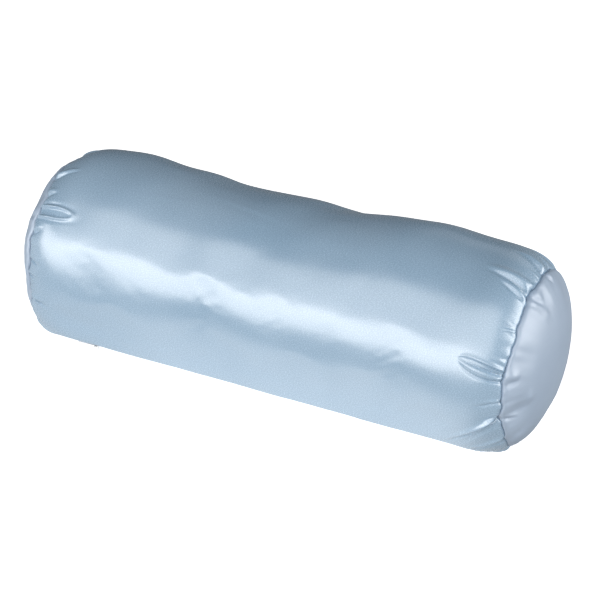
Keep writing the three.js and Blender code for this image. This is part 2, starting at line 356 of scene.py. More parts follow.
SATIN = satin_material("cover_satin", SATIN_DARK, SATIN_LIGHT, 0.23, 0.30, 0.4)
# The end panels' satin is a lit copy of the cover's satin, its colours painted greyer as a painted
# reflection of the white table.
PANEL_SATIN_PAINTED_REFLECTION = satin_material("cover_satin_end", PANEL_DARK_PAINTED_REFLECTION, PANEL_LIGHT_PAINTED_REFLECTION, 0.44, 0.52, 0.1)
TICKING = woven_material("liner_ticking", (0.66, 0.64, 0.58), (0.88, 0.87, 0.82), 0.55 * MM)
TAPE = woven_material("zip_tape", (0.12, 0.22, 0.38), (0.22, 0.34, 0.52), 0.45 * MM, 0.75)
LABEL = woven_material("label_cloth", (0.78, 0.78, 0.75), (0.92, 0.92, 0.90), 0.3 * MM, 0.6)
THREAD = thread_material("sewing_thread", (0.30, 0.42, 0.55), (0.42, 0.55, 0.68))
NYLON = nylon_material()
METAL = metal_material()
FIBRE = fibre_material()


def dress(made, material, *nodes, body="pillow", slot=None):
    """The last steps for every piece: its material, CAD nodes and body. The argument slot is not used."""
    made.data.materials.clear()
    made.data.materials.append(material)
    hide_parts(*nodes)
    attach(made, body)
    return made


# ---- the roll's form

# Columns run round the roll, counted from the zip's middle. Close beside the zip they are a few mm
# apart, so that the opening's folded edges lie on columns of their own.
ZIP_COLUMNS = [SLOT_HALF_WIDTH + k * MM for k in (0, 1.2, 2.4, 3.6, 5.2, 7.2, 9.6, 12.4)]
COLUMNS = 160
ROW_STEP = 4.0 * MM
FINE_STEP = 2.6 * MM
FINE_LENGTH = 48 * MM  # stretch beside each seam that has rows at the fine step


def column_angles():
    near = np.array(ZIP_COLUMNS) / RADIUS
    count = COLUMNS // 2 - len(near)
    rest = near[-1] + (math.pi - near[-1]) * np.arange(1, count + 1) / (count + 0.5)
    half = np.concatenate([near, rest])
    return np.concatenate([half, (2 * math.pi - half)[::-1]])


def sleeve_places():
    fine = np.arange(0, FINE_LENGTH, FINE_STEP)
    coarse_from = SEAM_X - fine[-1]
    steps = int(coarse_from / ROW_STEP)
    coarse = coarse_from * np.arange(steps) / steps
    half = np.concatenate([coarse, coarse_from + fine])
    return np.concatenate([-half[:0:-1], half])


def disc_radii():
    """Radii of the end panel's rings, from the seam inwards."""
    fine = SEAM_RADIUS - FINE_STEP * np.arange(1, 11)
    coarse = np.linspace(fine[-1], 9 * MM, 9)[1:]
    return np.concatenate([fine, coarse])


ANGLES = column_angles()
SLEEVE = sleeve_places()
DISC = disc_radii()
FIRST_SEAM = len(DISC)  # row of the left seam
LAST_SEAM = FIRST_SEAM + len(SLEEVE) - 1


SHOULDER_POWER = 2.9  # the higher, the later the shoulder turns in


def sleeve_radius(x):
    u = np.clip((np.abs(x) - (SEAM_X - SHOULDER)) / SHOULDER, 0, 1)
    return RADIUS - (RADIUS - SEAM_RADIUS) * u**SHOULDER_POWER


DOME_HEIGHT = 1.14 * BULGE
DOME_CREST = 2.2  # the higher, the flatter the dome's middle
DOME_RIM = 0.72  # the lower, the steeper the dome's rim


def dome_rise(radius):
    """How far the end panel stands out beyond its seam, where its ring has this radius."""
    return DOME_HEIGHT * np.maximum(1 - (radius / SEAM_RADIUS) ** DOME_CREST, 0) ** DOME_RIM


def soft_least(a, b, softness):
    low = np.minimum(a, b)
    return low - softness * np.log1p(np.exp(-np.abs(a - b) / softness))


def wrapped(angle):
    return (angle + math.pi) % (2 * math.pi) - math.pi


# Soft unevenness of the filling: length of the wave in metres, turns round the roll, phases, height.
LUMPS = [
    (0.230, 1, 1.10, 0.6, 0.7 * MM),
    (0.125, 2, 2.30, 1.9, 0.6 * MM),
    (0.082, 3, 0.40, 3.1, 0.45 * MM),
    (0.056, 5, 1.70, 0.2, 0.3 * MM),
]
# Broad hollows, and swells where the depth is negative: place along the roll and clock angle in
# degrees from the top towards the front, reach both ways, depth.
HOLLOWS = [
    (-56, -30, 56, 50, 4.2),
    (38, -26, 46, 46, 5.0),
    (118, -28, 34, 44, -2.8),
    (-152, -30, 28, 40, -1.6),
    (-60, 122, 130, 15, -5.0),
    (80, 122, 66, 15, -3.8),
    (-172, 122, 24, 14, -3.4),
    (-10, -56, 220, 22, -3.0),
    (-168, 70, 66, 22, 1.5),
    (150, 122, 40, 15, -2.0),
    (-60, 160, 140, 9, -0.9),
    (-30, 150, 90, 40, 1.2),
    (120, 168, 60, 40, 1.0),
    (-128, 236, 46, 30, 1.8),
    (60, 218, 70, 34, 2.2),
    (128, 100, 36, 20, 0.9),
    (-30, 96, 50, 16, 0.8),
    (40, 30, 46, 18, 0.7),
]


def lumps(x, angle):
    waves = sum(
        height * np.cos(2 * math.pi * x / wave + phase) * np.cos(turns * angle + start)
        for wave, turns, phase, start, height in LUMPS
    )
    turn = clock(angle)
    for place, degrees, reach, turn_reach, depth in HOLLOWS:
        along = (x - place * MM) / (reach * MM)
        around = wrapped(turn - math.radians(degrees)) / math.radians(turn_reach)
        waves = waves - depth * MM * np.exp(-(along**2) - around**2)
    return waves


def clock(angle):
    """The angle from the top towards the front, for an angle counted from the zip."""
    return math.pi - ZIP_TURN - angle


def zip_drift(x):
    """Angle by which the zip's middle has moved round the roll at this place along it."""
    return np.arctan(x * (ALONG @ SIDEWAYS) / (ALONG[0] * ZIP_PLANE))


SIDEWAYS = np.array([0.0, -math.cos(ZIP_TURN), math.sin(ZIP_TURN)])


def ring(x, radius, angle):
    """Points of one ring round the roll, for angles counted from the middle of the zip's flat."""
    y_z = np.cos(angle)[:, None] * OUTWARD + np.sin(angle)[:, None] * SIDEWAYS
    points = CENTRE + radius[:, None] * y_z
    points[:, 0] = x
    return points


SLACK = 1.3 * MM  # the form starts this much small, and the filling's pressure takes it up


def sleeve_ring(x):
    angle = ANGLES + zip_drift(x)
    free = sleeve_radius(x) - SLACK + lumps(x, angle)
    # The zip's flat and the flat that the roll rests on, each with the softness of its edge.
    for turned, plane, softness in (
        (angle, ZIP_PLANE, 0.7 * MM),
        (angle + ZIP_TURN, CENTRE[2], 0.9 * MM),
    ):
        off = wrapped(turned)
        flat = plane / np.maximum(np.cos(off), 0.2)
        free = np.where(np.abs(off) < 1.2, soft_least(free, flat, softness), free)
    return ring(x, free, angle)


def disc_ring(radius, sign):
    points = ring(0.0, np.full(len(ANGLES), radius), ANGLES + zip_drift(sign * SEAM_X))
    points[:, 0] = sign * (SEAM_X + dome_rise(radius) - SLACK)
    return points


def starting_form():
    """The cover before the filling presses it out, as rows of rings from the left to the right."""
    left = [disc_ring(r, -1) for r in DISC[::-1]]
    right = [disc_ring(r, 1) for r in DISC]
    return np.array(left + [sleeve_ring(x) for x in SLEEVE] + right)


def form_faces(rows):
    """Quads over all rows, and one cap at each end."""
    count = len(ANGLES)
    first, last = tuple(range(count)), tuple(range((rows - 1) * count, rows * count))
    return grid_faces(rows, count, closed=True) + [first[::-1], last]


# ---- cloth simulation

PRESSURE = 4.0
SIM_FRAMES = 14
MOST_MOVE = 9 * MM
CONTACT = 0.3 * MM
PINNED_COLUMNS = 4  # columns on each side of the zip that its tapes hold still
ZIP_MARGIN = 6 * MM  # how far beyond the zip's ends its flat stays smooth
PRESSED = 0.4 * MM  # below this height the cover lies on what the roll rests on


def pin_weights(form):
    """The zip's stiff flat and the part that lies pressed on the surface stay where they are."""
    local = zip_measures(form)
    beside = np.abs(local[..., 1]) < ZIP_COLUMNS[PINNED_COLUMNS]
    on_zip = beside & (np.abs(local[..., 0]) < SLOT_HALF + ZIP_MARGIN) & (local[..., 2] > 0)
    return np.where(on_zip | (form[..., 2] < PRESSED), 1.0, 0.0)


def settled(form):
    """The form after its filling has pressed the cloth tight."""
    rows, count = form.shape[:2]
    cloth = mesh_object("cloth_form", form, form_faces(rows))
    pins = cloth.vertex_groups.new(name="pins")
    weights = pin_weights(form).ravel()
    pins.add([int(k) for k in np.nonzero(weights)[0]], 1.0, "REPLACE")
    floor_points = [(-1, -1, 0), (1, -1, 0), (1, 1, 0), (-1, 1, 0)]
    ground = mesh_object("ground", floor_points, [(0, 1, 2, 3)])
    modifier(ground, "COLLISION")
    ground.collision.thickness_outer = CONTACT
    set_cloth(modifier(cloth, "CLOTH").settings)
    collide = cloth.modifiers[0].collision_settings
    collide.distance_min = CONTACT
    collide.collision_quality = 2
    scene = bpy.context.scene
    scene.frame_start, scene.frame_end = 1, SIM_FRAMES
    for step in range(1, SIM_FRAMES + 1):
        scene.frame_set(step)
    shown = cloth.evaluated_get(bpy.context.evaluated_depsgraph_get())
    moved = np.empty(rows * count * 3, np.float32)
    shown.data.vertices.foreach_get("co", moved)
    scene.frame_set(1)
    for made in (cloth, ground):
        bpy.data.objects.remove(made, do_unlink=True)
    step = moved.reshape(form.shape) - form
    size = np.linalg.norm(step, axis=2, keepdims=True)
    return form + step * np.minimum(1, MOST_MOVE / np.maximum(size, 1e-9))


def set_cloth(settings):
    settings.quality = 6
    settings.mass = 0.25
    settings.tension_stiffness = settings.compression_stiffness = 20
    settings.shear_stiffness = 8
    settings.bending_stiffness = 0.4
    settings.air_damping = 2.0
    settings.vertex_group_mass = "pins"
    settings.use_pressure = True
    settings.uniform_pressure_force = PRESSURE
    settings.effector_weights.gravity = 0.0


form = starting_form()
surface = settled(form)
surface[..., 2] = np.maximum(surface[..., 2], 0.0)
# The end panels keep their full dome, and follow only what the pressing did to the seam.
SEAM_REACH = 14 * MM  # how far in from the seam an end panel still follows it
SLACK_REACH = 8 * MM
PANEL_ROWS = (
    (-1, FIRST_SEAM, range(FIRST_SEAM)),
    (1, LAST_SEAM, range(LAST_SEAM + 1, len(form))),
)
for sign, seam, rows in PANEL_ROWS:
    seam_move = surface[seam] - form[seam]
    for row in rows:
        inwards = abs(row - seam) * FINE_STEP
        surface[row] = form[row] + seam_move * math.exp(-inwards / SEAM_REACH)
        surface[row, :, 0] += sign * SLACK * (1 - math.exp(-inwards / SLACK_REACH))

# ---- tucks, gathers and creases


def bell(value):
    return np.exp(-(value**2))


def halved(points, axis, closed):
    """The grid with a new line between each two, on a smooth curve through their neighbours."""
    p = np.moveaxis(points, axis, 0)
    if closed:
        after = np.roll(p, -1, 0)
        middle = (9 * (p + after) - np.roll(p, 1, 0) - np.roll(p, -2, 0)) / 16
        fine = np.stack([p, middle], axis=1).reshape(-1, *p.shape[1:])
    else:
        wide = np.concatenate([2 * p[:1] - p[1:2], p, 2 * p[-1:] - p[-2:-1]])
        fine = np.empty((2 * len(p) - 1, *p.shape[1:]))
        fine[0::2], fine[1::2] = p, (9 * (p[:-1] + p[1:]) - wide[:-3] - wide[3:]) / 16
    return np.moveaxis(fine, 0, axis)


COLUMN_SHARE = 4  # fine columns in each column of the form


def refined(points):
    """Twice as many rows and four times as many columns."""
    return halved(halved(halved(points, 1, True), 1, True), 0, False)


def surface_normals(points, outward):
    """Unit normals of a grid, turned to the side where outward points."""
    around = np.roll(points, -1, axis=1) - np.roll(points, 1, axis=1)
    normal = np.cross(around, np.gradient(points, axis=0))
    normal /= np.maximum(np.linalg.norm(normal, axis=2, keepdims=True), 1e-12)
    return normal * np.sign(np.einsum("ijk,ijk->ij", normal, outward).mean())


# Tucks in the end seams: kind, clock angle of the foot, length along the sleeve, half width, height,
# and how far the tip leans round the roll towards the front. A ridge is a pinched fold, a loop a
# blistered tongue with a raised rim, a leaf a loop with a pointed tip and a fold down its middle, and
# a slit is a deep crease under a raised lip.
RIGHT_TUCKS = [
    ("ridge", 11, 42, 5.0, 4.4, -7),
    ("ridge", 19, 27, 3.4, 3.0, -8),
    ("ridge", -13, 28, 4.2, 4.0, -6),
    ("slit", 41, 15, 3.0, 1.8, 3),
    ("leaf", 69, 38, 7.0, 6.4, -9),
    ("slit", 86, 24, 2.8, 1.8, 5),
    ("slit", 98, 46, 3.4, 7.5, 35),
    ("ridge", 118, 26, 4.0, 2.2, 8),
    ("ridge", 150, 24, 4.0, 1.8, -6),
    ("loop", 176, 30, 5.0, 2.0, 5),
    ("ridge", 205, 34, 4.0, 3.0, 8),
    ("leaf", 233, 36, 7.0, 2.6, -6),
    ("slit", 262, 30, 3.4, 3.0, 9),
    ("loop", 287, 32, 5.5, 2.4, -4),
    ("ridge", 316, 30, 4.0, 2.8, 7),
    ("slit", 333, 20, 3.0, 2.0, -4),
]
LEFT_TUCKS = [
    ("ridge", -20, 24, 3.6, 2.4, 5),
    ("ridge", 13, 26, 3.2, 3.2, -5),
    ("ridge", 27, 16, 3.4, 3.0, 0),
    ("loop", 41, 39, 5.0, 4.2, 0),
    ("ridge", 53, 13, 3.4, 2.6, -4),
    ("slit", 73, 20, 4.0, 2.0, 3),
    ("slit", 84, 18, 3.0, 1.4, -3),
    ("slit", 101, 27, 4.6, 5.0, -3),
    ("ridge", 126, 28, 4.0, 2.2, -6),
    ("leaf", 158, 32, 6.5, 2.2, 5),
    ("ridge", 190, 30, 4.0, 2.8, -7),
    ("loop", 214, 34, 5.5, 2.6, 4),
    ("slit", 243, 28, 3.4, 2.8, 7),
    ("leaf", 268, 38, 7.0, 2.8, -8),
    ("ridge", 296, 26, 3.8, 2.6, 6),
    ("slit", 322, 24, 3.0, 2.2, 5),
]
SMALL_TUCKS = 46  # further shallow gathers round each seam
# Their limits: place as a share of the pitch, length, half width, height, lean.
SMALL_RANGES = [(-0.4, 0.4), (5, 15), (1.3, 2.6), (0.3, 0.9), (-4, 4)]
PANEL_SHARE = 0.3  # length of a tuck on the end panel, as a share of that on the sleeve
RIM = 0.16  # width of a loop's raised rim, as a share of its half width
# The folds across a leaf, in shares of its half width: place, width, height.
LEAF_FOLDS = [
    (-1.0, 0.24, 0.4),
    (-0.6, 0.32, -0.4),
    (-0.1, 0.12, -0.6),
    (0.45, 0.45, 0.3),
    (1.2, 0.22, -0.35),
]


def all_tucks(listed, seed):
    random = np.random.RandomState(seed)
    small = []
    for k in range(SMALL_TUCKS):
        aside, *shape = (random.uniform(*limits) for limits in SMALL_RANGES)
        small.append(("ridge", (k + aside) * 360 / SMALL_TUCKS, *shape))
    return [
        (kind, math.radians(degrees), length * MM, width * MM, height * MM, lean * MM)
        for kind, degrees, length, width, height, lean in listed + small
    ]


def tuck_shape(kind, reach, across):
    """Height of one tuck, from its foot at reach 0 to its tip at 1, across in half widths."""
    fade = np.where(reach < 1, (1 - np.minimum(reach, 1) ** 2) ** 2, 0.0)
    if kind == "ridge":
        spread = across / (1.05 - 0.5 * np.minimum(reach, 1))
        fold = bell(spread) - 0.85 * bell((spread - 1.45) / 0.55)
        return np.where(reach < 1, (1 - np.minimum(reach, 1) ** 2) ** 1.3, 0.0) * fold
    if kind == "slit":
        spread = across / (0.7 + 0.4 * reach)
        lip = 0.45 * bell((spread + 1.1) / 0.8)
        return fade * (lip - bell(spread / 0.5) - 0.2 * bell((spread - 1.6) / 1.2))
    if kind == "leaf":
        half = np.maximum((0.7 + 0.75 * reach) * (1 - np.minimum(reach, 1) ** 2) ** 0.6, 0.08)
        spread = across / half
        folds = sum(height * bell((spread - off) / wide) for off, wide, height in LEAF_FOLDS)
        return np.where(reach < 1, (1 - np.minimum(reach, 1) ** 2) ** 0.8, 0.0) * folds
    edge = np.hypot(across, np.maximum(reach - 0.55, 0) / 0.45)
    rim = bell((edge - 1) / RIM)
    hollow = 0.6 / (1 + np.exp((edge - 0.8) / 0.1))
    dip = 0.35 * bell((edge - 1.55) / 0.32)
    return (rim - hollow - dip) * np.clip(1.35 - reach, 0, 1)


SEAM_HOLD = 0.7  # share of a tuck's height that the stitches hold down at the seam
HOLD_REACH = 2.5 * MM


def tuck_relief(tucks, distance, turn, share=1.0):
    """Height of all tucks at a distance from the seam. The seam itself holds them nearly flat."""
    relief = np.zeros(turn.shape)
    held = 1 - SEAM_HOLD * bell(distance / HOLD_REACH)
    for kind, foot, length, width, height, lean in tucks:
        if share < 1 and kind in ("loop", "leaf"):
            kind = "ridge"
        reach = distance / (length * share)
        off = wrapped(turn - foot - share * lean / RADIUS * reach)
        relief += height * share**0.5 * tuck_shape(kind, reach, off * RADIUS / width)
    return relief * held


# Creases: place along and clock angle of both ends, half width, height. A negative height is a crease
# pressed in, a positive one a fold that stands up.
CREASES = [
    (90, 24, 76, 66, 5.0, -0.55),
    (-90, 0, 20, 13, 2.6, 0.35),
    (-70, 6, 30, 17, 2.4, -0.3),
    (12, 11, 104, 25, 2.4, 0.3),
    (-150, 20, -60, 10, 3.0, 0.3),
    (60, -10, 44, 14, 4.0, -0.5),
    (-130, 210, -20, 232, 3.0, -0.5),
    (20, 240, 120, 214, 3.2, 0.45),
    (-40, 256, 60, 262, 2.6, 0.35),
    (110, 262, 90, 296, 5.0, -0.6),
    (-120, 280, -96, 312, 5.0, -0.5),
]


def crease_relief(x, turn):
    relief = np.zeros(turn.shape)
    for x0, turn0, x1, turn1, width, height in CREASES:
        run = np.array([(x1 - x0) * MM, math.radians(turn1 - turn0) * RADIUS])
        span = np.hypot(*run)
        along_x = x - x0 * MM
        around = wrapped(turn - math.radians(turn0)) * RADIUS
        share = (along_x * run[0] + around * run[1]) / span**2
        off = (along_x * run[1] - around * run[0]) / span
        bend = off + 0.06 * span * (share - 0.5) ** 2
        fade = np.where((share > 0) & (share < 1), np.sin(math.pi * np.clip(share, 0, 1)) ** 2, 0.0)
        relief += height * MM * fade * bell(bend / (width * MM))
    return relief


SEAM_GROOVE = 1.0 * MM
GROOVE_WIDTH = 1.0 * MM
# Dents and bumps of the end panels: clock angle, distance in from the seam, reach round and inwards,
# height.
RIGHT_DENTS = [
    (8, 10, 9, 7, -1.6),
    (16, 17, 8, 4, 0.7),
    (97, 13, 13, 8, -2.6),
    (88, 24, 9, 4, 1.2),
    (128, 10, 14, 8, 1.6),
    (55, 12, 16, 9, -1.1),
    (-40, 16, 20, 10, -1.5),
    (210, 14, 20, 9, -1.6),
    (262, 18, 24, 12, -1.2),
]
LEFT_DENTS = [
    (30, 12, 14, 8, -1.5),
    (90, 14, 16, 9, -1.8),
    (150, 16, 20, 10, -1.4),
    (215, 12, 16, 8, -1.6),
    (300, 16, 20, 10, -1.5),
]


def dent_relief(dents, distance, turn):
    relief = np.zeros(turn.shape)
    for degrees, inwards, reach, inwards_reach, height in dents:
        around = wrapped(turn - math.radians(degrees)) * RADIUS / (reach * MM)
        along = (distance - inwards * MM) / (inwards_reach * MM)
        relief += height * MM * np.exp(-(around**2) - along**2)
    return relief


def groove(distance):
    return SEAM_GROOVE * bell(distance / GROOVE_WIDTH)


# The seam wanders a little along the roll: waves round it, phase on the left and the right, height.
SEAM_WAVES = [(7, 0.4, 2.1, 0.7), (17, 1.9, 0.3, 0.5), (31, 0.8, 2.9, 0.35), (53, 2.2, 1.1, 0.2)]

TUCK_PULL = 0.3  # how far a tuck draws the seam in, as a share of the tuck's height
# Longer stretches where it is drawn in or pushed out: side, clock angle, reach round, height.
SEAM_KINKS = [(1, 124, 17, 4.0), (1, 98, 7, -1.2), (-1, 101, 8, -2.2), (-1, 118, 14, 2.0)]


def seam_shift(sign, turn):
    """How far the seam lies off its plane, outwards, at this clock angle. Tucks pull it in."""
    shift = sum(
        height * MM * np.sin(waves * turn + (right if sign > 0 else left))
        for waves, left, right, height in SEAM_WAVES
    )
    for side, degrees, reach, height in SEAM_KINKS:
        if side == sign:
            off = wrapped(turn - math.radians(degrees)) / math.radians(reach)
            shift = shift + height * MM * bell(off)
    for _, degrees, _, width, height, _ in RIGHT_TUCKS if sign > 0 else LEFT_TUCKS:
        off = wrapped(turn - math.radians(degrees)) * SEAM_RADIUS / (width * MM)
        shift = shift - TUCK_PULL * height * MM * bell(off)
    return sign * shift


def seam_pull(distance):
    """Share of the seam's shift that reaches the cloth at a distance from it."""
    return np.exp(-distance / (9 * MM))


def turn_of(points):
    """Clock angle of points: from the top towards the front."""
    return np.arctan2(-(points[..., 1] - CENTRE[1]), points[..., 2] - CENTRE[2])


TAPE_REACH = 13 * MM  # the tapes hold the cloth smooth this far from the zip's middle line


def along_zip(points):
    """1 away from the zip's flat, falling to 0 on it, so that the zip lies smooth."""
    local = zip_measures(points)
    beside = np.maximum(np.abs(local[..., 1]) - TAPE_REACH, 0) / (5 * MM)
    beyond = np.maximum(np.abs(local[..., 0]) - SLOT_HALF - ZIP_MARGIN, 0) / (5 * MM)
    off = np.where(local[..., 2] > 0, np.maximum(beside, beyond), 1.0)
    return 1 - bell(off)


def panel_grids(grid):
    """The rows of the left and of the right end panel, from their seams inwards."""
    return grid[: FIRST_SEAM + 1][::-1], grid[LAST_SEAM:]


def cover_grids():
    """The fine grids of the cover: left panel and right panel from their seams inwards, and the sleeve."""
    tucks = {-1: all_tucks(LEFT_TUCKS, 3), 1: all_tucks(RIGHT_TUCKS, 5)}
    sleeve = refined(surface[FIRST_SEAM : LAST_SEAM + 1])
    places = halved(SLEEVE, 0, False)
    out = sleeve - CENTRE
    out[..., 0] = 0
    normal = surface_normals(sleeve, out)
    turn = turn_of(sleeve)
    distance = np.broadcast_to((SEAM_X - np.abs(places))[:, None], turn.shape)
    relief = crease_relief(np.broadcast_to(places[:, None], turn.shape), turn)
    for sign in (-1, 1):
        half = np.sign(places) == sign
        relief[half] += tuck_relief(tucks[sign], distance[half], turn[half])
    relief *= along_zip(sleeve)
    sleeve = sleeve + normal * (relief - groove(distance))[..., None]
    for sign in (-1, 1):
        half = np.sign(places) == sign
        sleeve[half, :, 0] += seam_shift(sign, turn[half]) * seam_pull(distance[half])
    sleeve[..., 2] = np.maximum(sleeve[..., 2], 0.0)
    panels = []
    for (_, sign), rings, dents in zip(ENDS, panel_grids(surface), (LEFT_DENTS, RIGHT_DENTS)):
        rings = refined(rings)
        normal = surface_normals(rings, np.broadcast_to([float(sign), 0, 0], rings.shape))
        turn = turn_of(rings)
        radius = np.linalg.norm((rings - CENTRE)[..., 1:], axis=2)
        distance = np.maximum(SEAM_RADIUS - radius, 0)
        relief = dent_relief(dents, distance, turn) + tuck_relief(tucks[sign], distance, turn, PANEL_SHARE)
        relief = relief * (1 - bell(distance / (4 * MM)))
        rings = rings + normal * (relief - groove(distance))[..., None]
        rings[..., 0] += seam_shift(sign, turn) * seam_pull(distance)
        rings[..., 2] = np.maximum(rings[..., 2], 0.0)
        rings[0] = sleeve[0] if sign < 0 else sleeve[-1]
        panels.append(rings)
    return panels[0], sleeve, panels[1], places


# ---- grids that coarsen


def lattice(points, steps, uvs, keep=None):
    """Faces over a closed grid where row i uses every steps[i]-th column. Between two rows one step may
    be twice the other. Unused points are left out. uvs has one more column than points."""
    rows, count = points.shape[:2]
    used = -np.ones((rows, count), int)
    faces, corners = [], []
    for i in range(rows - 1):
        low, high = steps[i], steps[i + 1]
        wide = max(low, high)
        for j in range(0, count, wide):
            if keep is not None and not keep[i, j]:
                continue
            first = [(i, k) for k in range(j, j + wide + 1, low)]
            second = [(i + 1, k) for k in range(j + wide, j - 1, -high)]
            face = first + second
            faces.append([(r, c % count) for r, c in face])
            corners += [uvs[r, c] for r, c in face]
    order = sorted({corner for face in faces for corner in face})
    for number, (r, c) in enumerate(order):
        used[r, c] = number
    rows_used, columns_used = np.array(order).T
    return points[rows_used, columns_used], [tuple(used[r, c] for r, c in f) for f in faces], corners, used


def face_along(made, outward):
    """Turns the faces over where most of them look against outward, a function of a face's centre."""
    if sum(p.normal.dot(Vector(outward(p.center))) * p.area for p in made.data.polygons) < 0:
        made.data.flip_normals()


def cloth_object(name, points, faces, corners, outward):
    """A smooth cloth mesh with its UV map, its faces turned to look along outward."""
    made = mesh_object(name, points, faces)
    set_uv(made, corners)
    made.data.update()
    face_along(made, outward)
    return made


def from_axis(point):
    return (0.0, point[1] - CENTRE[1], point[2] - CENTRE[2])


def sleeve_uvs(places, count):
    wide = np.linspace(0, 2 * math.pi * RADIUS, count + 1)
    return np.stack(np.broadcast_arrays(places[:, None], wide[None]), axis=2)


def panel_uvs(rings):
    flat = rings[..., 1:] - CENTRE[1:]
    return np.concatenate([flat, flat[:, :1]], axis=1)


def sleeve_cloth(name, grid, places, steps, keep=None):
    points, faces, corners, _ = lattice(grid, steps, sleeve_uvs(places, grid.shape[1]), keep)
    return cloth_object(name, points, faces, corners, from_axis)


def panel_cloth(name, rings, steps, sign):
    """An end panel: rings from the seam inwards with ever fewer columns, and a small fan in the middle."""
    points, faces, corners, used = lattice(rings, steps, panel_uvs(rings))
    last = [used[-1, j] for j in range(0, rings.shape[1], steps[-1])]
    middle = rings[-1].mean(0) + np.array([sign * 0.4 * MM, 0, 0])
    points = np.vstack([points, middle])
    for k, corner in enumerate(last):
        face = (corner, last[(k + 1) % len(last)], len(points) - 1)
        faces.append(face)
        corners += [points[v, 1:] - CENTRE[1:] for v in face]
    return cloth_object(name, points, faces, corners, lambda point: (sign, 0, 0))


def panel_steps(rings, most):
    """Column steps that double as the rings get smaller."""
    radius = np.linalg.norm((rings - CENTRE)[..., 1:], axis=2).mean(1)
    wanted = np.clip(2 ** np.floor(np.log2(SEAM_RADIUS / radius)) * 2, 2, most).astype(int)
    steps = [1]
    for value in wanted[1:]:
        steps.append(min(int(value), steps[-1] * 2) if value > steps[-1] else steps[-1])
    return steps


CLOTH = 0.6 * MM


def opening(places, count):
    """Which faces of the sleeve stay when the zip's opening, one column of the form, is cut out."""
    keep = np.ones((len(places) - 1, count), bool)
    inside = (np.abs(places[:-1]) < SLOT_HALF) & (np.abs(places[1:]) < SLOT_HALF)
    keep[inside, count - COLUMN_SHARE :] = False
    return keep


def thicken(made):
    modifier(made, "SOLIDIFY", thickness=CLOTH, offset=-1.0)


def make_ends(name, grids, least, material, slot):
    """Both end panels of the cover or the liner, from grids that run from the seam inwards. Their
    innermost ring keeps every least-th column."""
    ends = []
    for (side, sign), rings in zip(ENDS, grids):
        end = panel_cloth(name.format(side), rings, panel_steps(rings, least), sign)
        thicken(end)
        dress(end, material, name.format(side).rpartition("_")[0], slot=slot)
        ends.append(end)
    return ends


DENSE_LENGTH = 42 * MM  # stretch beside each seam where the cover keeps every row and column


def make_cover(left, sleeve, right, places):
    near = SEAM_X - np.abs(places) < DENSE_LENGTH
    rows = [i for i in range(len(places)) if near[i] or i % 2 == 0]
    steps = [1 if near[i] else 2 for i in rows]
    grid, kept = sleeve[rows], places[rows]
    cover = sleeve_cloth("cover_sleeve_satin", grid, kept, steps, opening(kept, sleeve.shape[1]))
    thicken(cover)
    dress(cover, SATIN, "cover_sleeve")
    return cover, make_ends("cover_{}_end_satin", (left, right), 32, PANEL_SATIN_PAINTED_REFLECTION, "cover_satin")


# ---- points on and under the cover


def on_surface(x, angle, depth):
    """Points a depth under the smooth cover, for places along the roll and angles from the zip."""
    x, angle = np.broadcast_arrays(np.asarray(x, float), np.asarray(angle, float))
    row = np.interp(x, SLEEVE, np.arange(len(SLEEVE)))
    turns = np.concatenate([ANGLES[-1:] - 2 * math.pi, ANGLES, ANGLES[:1] + 2 * math.pi])
    column = np.interp(angle % (2 * math.pi), turns, np.arange(-1, len(ANGLES) + 1))
    r0 = np.clip(np.floor(row).astype(int), 0, len(SLEEVE) - 2)
    c0 = np.floor(column).astype(int)
    fr, fc = (row - r0)[..., None], (column - c0)[..., None]

    c0, c1 = c0 % len(ANGLES), (c0 + 1) % len(ANGLES)

    def mixed(grid):
        low, high = (grid[r, c0] * (1 - fc) + grid[r, c1] * fc for r in (r0, r0 + 1))
        return low * (1 - fr) + high * fr

    base = surface[FIRST_SEAM : LAST_SEAM + 1]
    return mixed(base) - mixed(SLEEVE_NORMALS) * np.asarray(depth, float)[..., None]


OUT = surface - CENTRE
OUT[..., 0] = np.sign(OUT[..., 0]) * np.maximum(np.abs(OUT[..., 0]) - SEAM_X + SEAM_RADIUS, 0)
NORMALS = surface_normals(surface, OUT)
SLEEVE_NORMALS = NORMALS[FIRST_SEAM : LAST_SEAM + 1]


def angle_at(turn, x):
    """The angle counted from the zip's column, for a clock angle and a place along the roll."""
    return clock(turn) - zip_drift(x)


TUCK_ROOM = 5.5 * MM  # how much further in the inner pieces lie under the tucks
ROOM_START = 5 * MM  # where that room opens and where it ends, from the seam
ROOM_END = 34 * MM


def inner_grid(depth):
    """The surface moved inwards. Beside the seams it keeps clear of the deepest folds of the cover."""
    distance = SEAM_RADIUS - np.linalg.norm((surface - CENTRE)[..., 1:], axis=2)
    sleeve = slice(FIRST_SEAM, LAST_SEAM + 1)
    distance[sleeve] = SEAM_X - np.abs(surface[sleeve, :, 0])
    distance = np.maximum(distance, 0)
    room = (1 - bell(distance / ROOM_START)) * np.exp(-((distance / ROOM_END) ** 4))
    return surface - NORMALS * (depth + TUCK_ROOM * room)[..., None]


LINER_DEPTH = 3.6 * MM
FILL_DEPTH = 5.2 * MM


def make_liner():
    grid = inner_grid(LINER_DEPTH)
    rows = list(range(FIRST_SEAM, LAST_SEAM + 1, 2))
    if rows[-1] != LAST_SEAM:
        rows.append(LAST_SEAM)
    places = SLEEVE[np.array(rows) - FIRST_SEAM]
    sleeve = sleeve_cloth("liner_sleeve_ticking", grid[rows], places, [1] * len(rows))
    thicken(sleeve)
    dress(sleeve, TICKING, "liner_sleeve")
    for end in make_ends("liner_{}_end_ticking", panel_grids(grid), 8, TICKING, "liner_ticking"):
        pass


# Unevenness of the wadding: waves along the roll, waves round it, phase.
TUFTS = [(310, 9, 0.3), (530, -13, 1.7), (870, 21, 2.6)]


